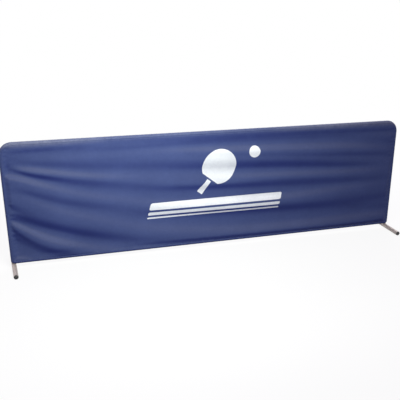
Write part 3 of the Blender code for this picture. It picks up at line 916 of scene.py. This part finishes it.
foot_turns = {"left": math.radians(-6.2), "right": math.radians(1.1)}
finishes = {
    f"foot_tube_{side}": metal_material(
        f"satin_foot_{side}", (0.56, 0.490, 0.450, 1), (0.50, 0.44, 0.405, 1), 0.46, (900.0, 12.0, 900.0),
        turn=turn, metallic=0.30,
    )
    for side, turn in foot_turns.items()
}
bolt_steel = metal_material(
    "zinc_plated_steel", (0.66, 0.66, 0.66, 1), (0.52, 0.51, 0.49, 1), 0.28, (700.0, 700.0, 40.0)
)
insert_brass = metal_material(
    "turned_brass", (0.62, 0.47, 0.20, 1), (0.46, 0.34, 0.15, 1), 0.32, (500.0, 500.0, 1500.0)
)
frame_coat = coated_material("grey_powder_coat", (0.42, 0.42, 0.43, 1), (0.30, 0.29, 0.28, 1), 0.42)
cap_plastic = plastic_material("black_cap_plastic", (0.018, 0.018, 0.019, 1), (0.085, 0.083, 0.080, 1), 0.45)
plug_plastic = plastic_material("black_plug_plastic", (0.022, 0.022, 0.023, 1), (0.070, 0.070, 0.070, 1), 0.50)
saddle_plastic = plastic_material("grey_saddle_plastic", (0.30, 0.29, 0.29, 1), (0.40, 0.39, 0.38, 1), 0.50)
finishes.update(frame_hoop=frame_coat, bottom_rail=frame_coat)
for side in ("left", "right"):
    finishes.update({
        f"foot_front_cap_{side}": cap_plastic,
        f"foot_rear_cap_{side}": cap_plastic,
        f"foot_saddle_{side}": saddle_plastic,
        f"upright_plug_{side}": plug_plastic,
        f"threaded_insert_{side}": insert_brass,
        f"pivot_bolt_{side}": bolt_steel,
        f"pivot_washer_{side}": bolt_steel,
    })
print("finishes for", len(finishes), "CAD nodes")

# %% Give every piece its finish and its body, and hide the CAD node each cloth piece stands in for
for node, material in finishes.items():
    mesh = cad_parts[node].data
    mesh.materials.clear()
    mesh.materials.append(material)

cloth_pieces = {
    front_sheet: (sheet_cloth, "cover_front_panel", "cover_fabric"),
    rear_sheet: (sheet_cloth, "cover_rear_panel", "cover_fabric"),
    edge_band_piece: (band_cloth, "cover_edge_band", "cover_fabric"),
    front_flap: (hem_cloth, "cover_front_flap", "cover_fabric"),
    rear_flap: (hem_cloth, "cover_rear_flap", "cover_fabric"),
    hook_tape: (hook_cloth, "closure_hook_tape", "tape_fabric"),
    loop_tape: (loop_cloth, "closure_loop_tape", "tape_fabric"),
}
for piece, (material, node, slot) in cloth_pieces.items():
    piece.data.materials.append(material)
    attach(piece, "frame")
    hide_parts(node)
stitching = (front_seam, rear_seam, hem_stitching)
for piece in stitching:
    piece.data.materials.append(thread)
    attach(piece, "frame")
for piece in print_pieces:
    piece.data.materials.append(ink)
    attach(piece, "frame")
print("dressed", len(finishes), "nodes and", len(cloth_pieces) + len(stitching) + len(print_pieces), "new pieces")

# %% [markdown]

# %% [markdown]
# ## Floor and light
# The floor is a plain plane, and what the camera sees of it is mostly white. Near the barrier a small share
# still takes the light and the shadow; further out that share fades away, so no horizon shows. For the light
# that it throws back it is dark, so that it doesn't brighten the cover from below. The key lamp stands in front,
# above the barrier's left half, with its beam narrowed so that the cover darkens towards its far end and its
# hem. A broad lamp behind keeps the rear readable, and the world fills in. The key is faintly yellow green and
# the fill faintly violet, which lets the colour drift over the cover. Place, power and tints were tuned for
# likeness.


# %% Floor and world
def seen_directly(tree):
    """1 for camera, glossy and transmission rays, and 0 for the rays that light the scene."""
    rays = tree.nodes.new("ShaderNodeLightPath").outputs
    mirrored = math_node(tree, "MAXIMUM", rays["Is Glossy Ray"], rays["Is Transmission Ray"])
    return math_node(tree, "MAXIMUM", rays["Is Camera Ray"], mirrored)


floor_half = 30.0
floor_corners = floor_half * np.array([(-1, -1, 0), (1, -1, 0), (1, 1, 0), (-1, 1, 0)])
lit_grey, seen_grey = (0.05, 0.05, 0.05, 1), (0.86, 0.86, 0.86, 1)
fade_start, fade_end, least_white = 1.2, 3.0, 0.89
fill_level = 0.44
fill_tint = (1.06, 0.92, 1.19, 1)
floor_mesh = bpy.data.meshes.new("floor")
floor_mesh.from_pydata(floor_corners.tolist(), [], [(0, 1, 2, 3)])
floor = bpy.data.objects.new("floor", floor_mesh)
bpy.context.scene.collection.objects.link(floor)
floor_paint, tree, shader = new_material("pale_floor")
seen = seen_directly(tree)
plug_all(tree, shader, {
    "Base Color": mix_colour(tree, seen, lit_grey, seen_grey),
    "Roughness": 0.9,
    "Specular IOR Level": 0.0,
})
distance = tree.nodes.new("ShaderNodeVectorMath")
distance.operation = "LENGTH"
tree.links.new(coordinates(tree)["Object"], distance.inputs[0])
white = tree.nodes.new("ShaderNodeEmission")
far = product(tree, remap(tree, distance.outputs["Value"], fade_start, fade_end, least_white, 1.0), seen)
blend_shader = tree.nodes.new("ShaderNodeMixShader")
for value, socket in zip((far, shader.outputs[0], white.outputs[0]), blend_shader.inputs):
    tree.links.new(value, socket)
tree.links.new(blend_shader.outputs[0], tree.nodes["Material Output"].inputs["Surface"])
floor_mesh.materials.append(floor_paint)

world = bpy.data.worlds.new("studio")
bpy.context.scene.world = world
world.use_nodes = True
tree = world.node_tree
seen = seen_directly(tree)
plug_all(tree, tree.nodes["Background"], {
    "Strength": remap(tree, seen, 0.0, 1.0, fill_level, 1.0),
    "Color": mix_colour(tree, seen, fill_tint, (1, 1, 1, 1)),
})
print("floor", floor_half * 2, "m wide, fill", fill_level)


# %% Lamps
def lamp(name, place, target, size, power, colour=(1.0, 1.0, 1.0), spread=180):
    """A broad rectangular lamp at a place, turned to look at its target; spread is its beam's angle in degrees."""
    light = bpy.data.lights.new(name, "AREA")
    light.shape = "RECTANGLE"
    light.size, light.size_y = size
    light.energy = power
    light.color = colour
    light.spread = math.radians(spread)
    item = bpy.data.objects.new(name, light)
    bpy.context.scene.collection.objects.link(item)
    item.location = place
    item.rotation_euler = (Vector(target) - Vector(place)).to_track_quat("-Z", "Y").to_euler()
    print(name, power, "W at", place)


lamp("key_lamp", (-0.394, -1.326, 1.491), (-0.440, 0.0, 0.48), (0.9, 0.6), 21.2, (0.96, 1.01, 0.90), spread=126)
lamp("rear_lamp", (1.2, 2.2, 2.4), (0.2, 0.0, 0.35), (2.4, 1.2), 60)

# %% [markdown]
# ## Camera
# The camera's place, direction and lens were solved so that the panel's four edges fall where the reference
# view has them.

# %% Camera
camera_data = bpy.data.cameras.new("camera")
camera_data.lens = 49.646
camera_data.sensor_width = 36
camera_data.sensor_fit = "AUTO"
camera_data.clip_start = 0.05
camera_data.clip_end = 100
camera = bpy.data.objects.new("camera", camera_data)
bpy.context.scene.collection.objects.link(camera)
camera_place = Vector((-0.88282, -2.93923, 1.30079))
right = Vector((0.96529, -0.26114, -0.00443))
up = Vector((0.08589, 0.30138, 0.94963))
back = right.cross(up)
camera.matrix_world = Matrix.Translation(camera_place) @ Matrix((right, up, back)).transposed().to_4x4()
bpy.context.scene.camera = camera
bpy.context.scene.view_settings.view_transform = "Standard"
print("camera looks", [round(v, 3) for v in -back])
